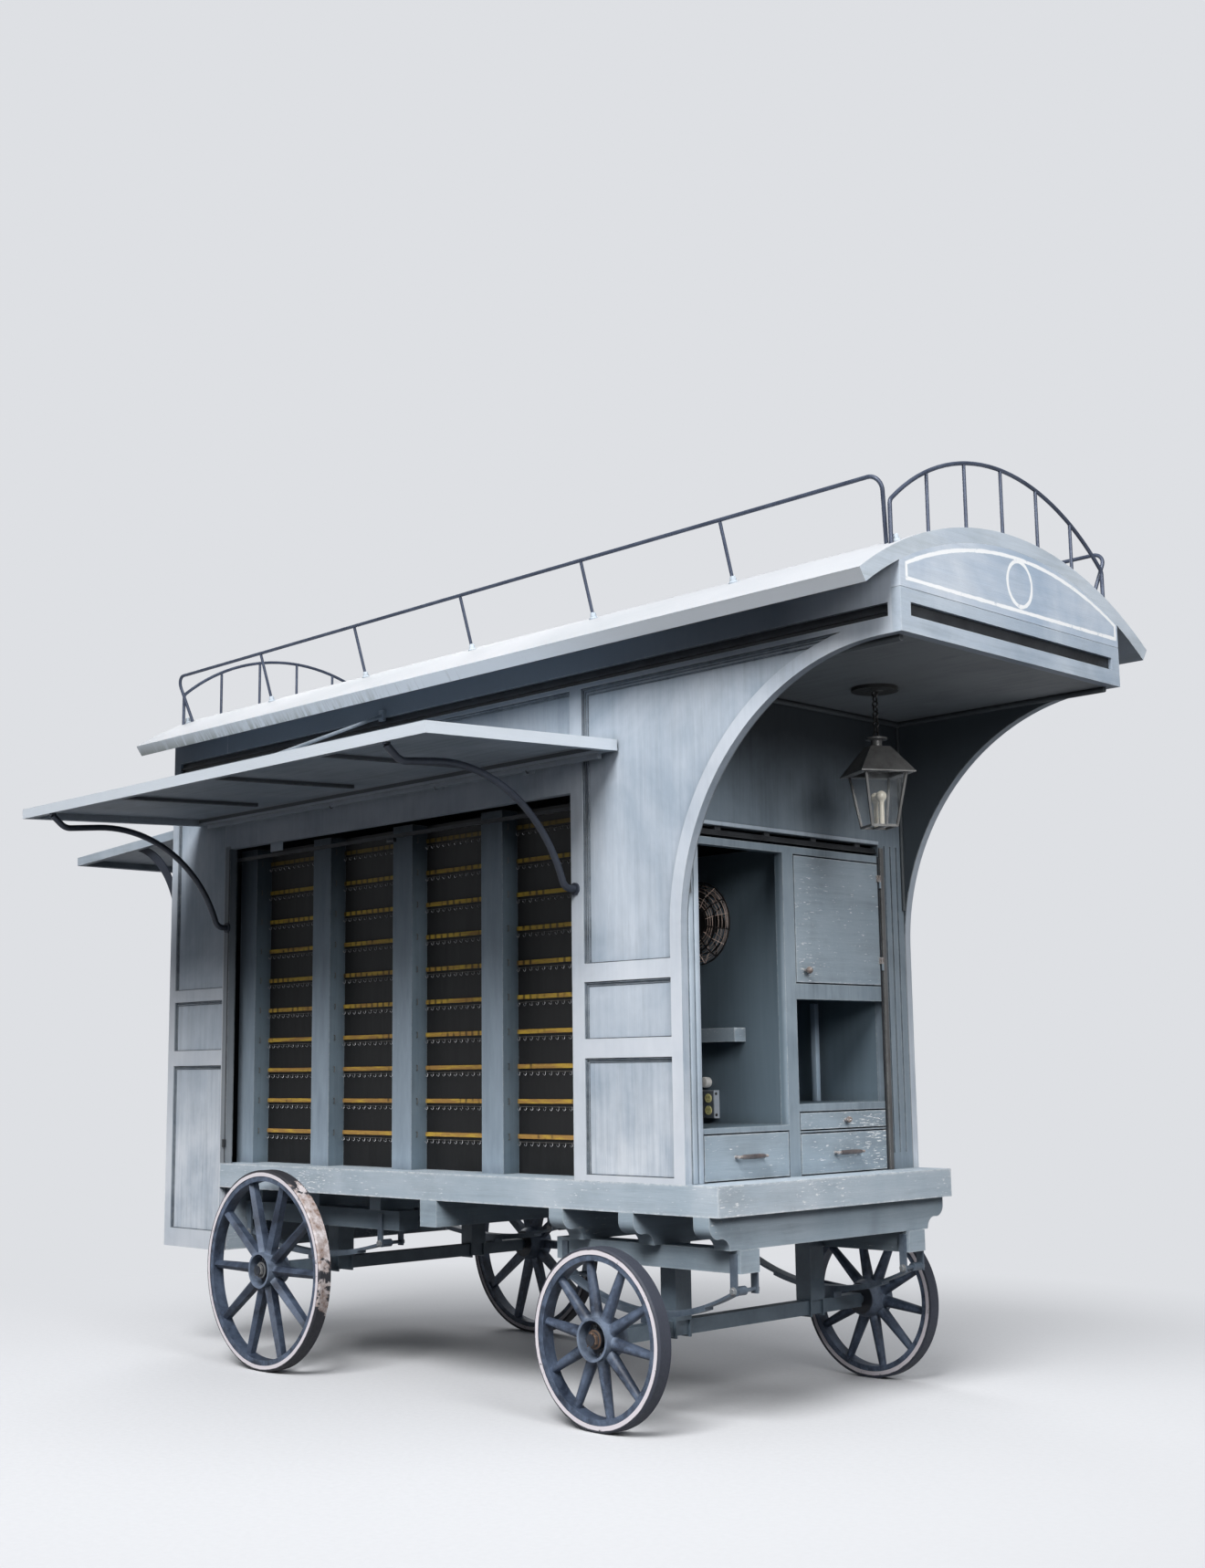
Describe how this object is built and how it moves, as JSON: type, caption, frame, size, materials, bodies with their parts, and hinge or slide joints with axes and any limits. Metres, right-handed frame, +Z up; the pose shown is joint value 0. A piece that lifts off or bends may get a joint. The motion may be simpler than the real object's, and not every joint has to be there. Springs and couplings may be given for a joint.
{
  "type": "market stall cart",
  "caption": "Market stall cart on spoked wheels with leaf springs, panelled sides, arched front canopy, curved roof with railing, side and rear awnings, display racks, counter and lantern.",
  "frame": {"origin": "middle of the whole cart's box, on the ground under the wheels", "axes": "+X towards the canopy and counter end, +Y towards the side without an awning, +Z up"},
  "size_m": [4.9682, 2.35, 3.155],
  "materials": {
    "axle_blue": "satin paint",
    "body_paint": "weathered satin paint",
    "deck_paint": "weathered satin paint",
    "fan_copper": "satin",
    "iron_blue": "satin paint",
    "joist_paint": "weathered matte paint",
    "lamp_white": "frosted",
    "lantern_zinc": "matte",
    "outlet_grey": "satin",
    "rack_black": "matte",
    "rack_yellow": "satin paint",
    "roof_paint": "sun-bleached matte paint",
    "tyre_black": "matte"
  },
  "bodies": {
    "cart": {"awning_stay": "iron_blue", "cabinet": "body_paint", "canopy_fascia": "body_paint", "ceiling": "body_paint", "cross_joists": "joist_paint", "cupboard_frame_hinges": "body_paint", "deck": "deck_paint", "end_railings": "iron_blue", "entrance_well": "body_paint", "fan_guard": "fan_copper", "far_side_wall": "body_paint", "far_well_wall": "body_paint", "frieze_rails": "iron_blue", "front_axle": "axle_blue", "front_chassis_rails": "joist_paint", "front_leaf_springs": "iron_blue", "front_wall": "body_paint", "lantern_frame": "lantern_zinc", "lantern_hanger": "lantern_zinc", "lantern_lamps": "lamp_white", "near_side_wall": "body_paint", "near_well_wall": "body_paint", "outlet_box": "outlet_grey", "pediment": "body_paint", "rack_back_panel": "rack_black", "rack_posts": "rack_black", "rack_rails": "rack_yellow", "rear_awning": "roof_paint", "rear_awning_brackets": "iron_blue", "rear_axle": "axle_blue", "rear_chassis_rails": "joist_paint", "rear_leaf_springs": "iron_blue", "rear_wall": "body_paint", "roof": "roof_paint", "shelf_box": "body_paint", "side_awning": "roof_paint", "side_awning_arms": "iron_blue", "side_railings": "iron_blue", "window_track": "rack_black"},
    "front_near_wheel_body": {"front_near_wheel": "iron_blue", "front_near_tyre": "tyre_black"},
    "front_far_wheel_body": {"front_far_wheel": "iron_blue", "front_far_tyre": "tyre_black"},
    "rear_near_wheel_body": {"rear_near_wheel": "iron_blue", "rear_near_tyre": "tyre_black"},
    "rear_far_wheel_body": {"rear_far_wheel": "iron_blue", "rear_far_tyre": "tyre_black"},
    "cupboard_door_body": {"cupboard_door": "body_paint"},
    "rear_door_body": {"rear_door": "body_paint"},
    "counter_drawer_body": {"counter_drawer": "body_paint"},
    "lower_drawer_body": {"lower_drawer": "body_paint"},
    "upper_drawer_body": {"upper_drawer": "body_paint"},
    "fan_rotor_body": {"fan_rotor": "fan_copper"}
  },
  "joints": [
    {"name": "front_near_wheel_spin", "type": "hinge", "parent": "cart", "child": "front_near_wheel_body", "pos_m": [1.22909, -0.40376, 0.297], "axis": [0, 1, 0], "continuous": true},
    {"name": "front_far_wheel_spin", "type": "hinge", "parent": "cart", "child": "front_far_wheel_body", "pos_m": [1.22909, 1.06524, 0.297], "axis": [0, 1, 0], "continuous": true},
    {"name": "rear_near_wheel_spin", "type": "hinge", "parent": "cart", "child": "rear_near_wheel_body", "pos_m": [-0.68991, -0.40376, 0.395], "axis": [0, 1, 0], "continuous": true},
    {"name": "rear_far_wheel_spin", "type": "hinge", "parent": "cart", "child": "rear_far_wheel_body", "pos_m": [-0.68991, 1.06524, 0.395], "axis": [0, 1, 0], "continuous": true},
    {"name": "cupboard_door_swing", "type": "hinge", "parent": "cart", "child": "cupboard_door_body", "pos_m": [1.54709, 0.78574, 1.475], "axis": [0, 0, 1], "range_deg": [0, 105]},
    {"name": "rear_door_swing", "type": "hinge", "parent": "cart", "child": "rear_door_body", "pos_m": [-1.62191, 0.70824, 0.475], "axis": [0, 0, -1], "range_deg": [0, 100]},
    {"name": "counter_drawer_slide", "type": "slide", "parent": "cart", "child": "counter_drawer_body", "axis": [1, 0, 0], "range_m": [0, 0.26]},
    {"name": "lower_drawer_slide", "type": "slide", "parent": "cart", "child": "lower_drawer_body", "axis": [1, 0, 0], "range_m": [0, 0.34]},
    {"name": "upper_drawer_slide", "type": "slide", "parent": "cart", "child": "upper_drawer_body", "axis": [1, 0, 0], "range_m": [0, 0.34]},
    {"name": "fan_spin", "type": "hinge", "parent": "cart", "child": "fan_rotor_body", "pos_m": [1.17409, 0.18024, 1.7], "axis": [0, 1, 0], "continuous": true}
  ]
}
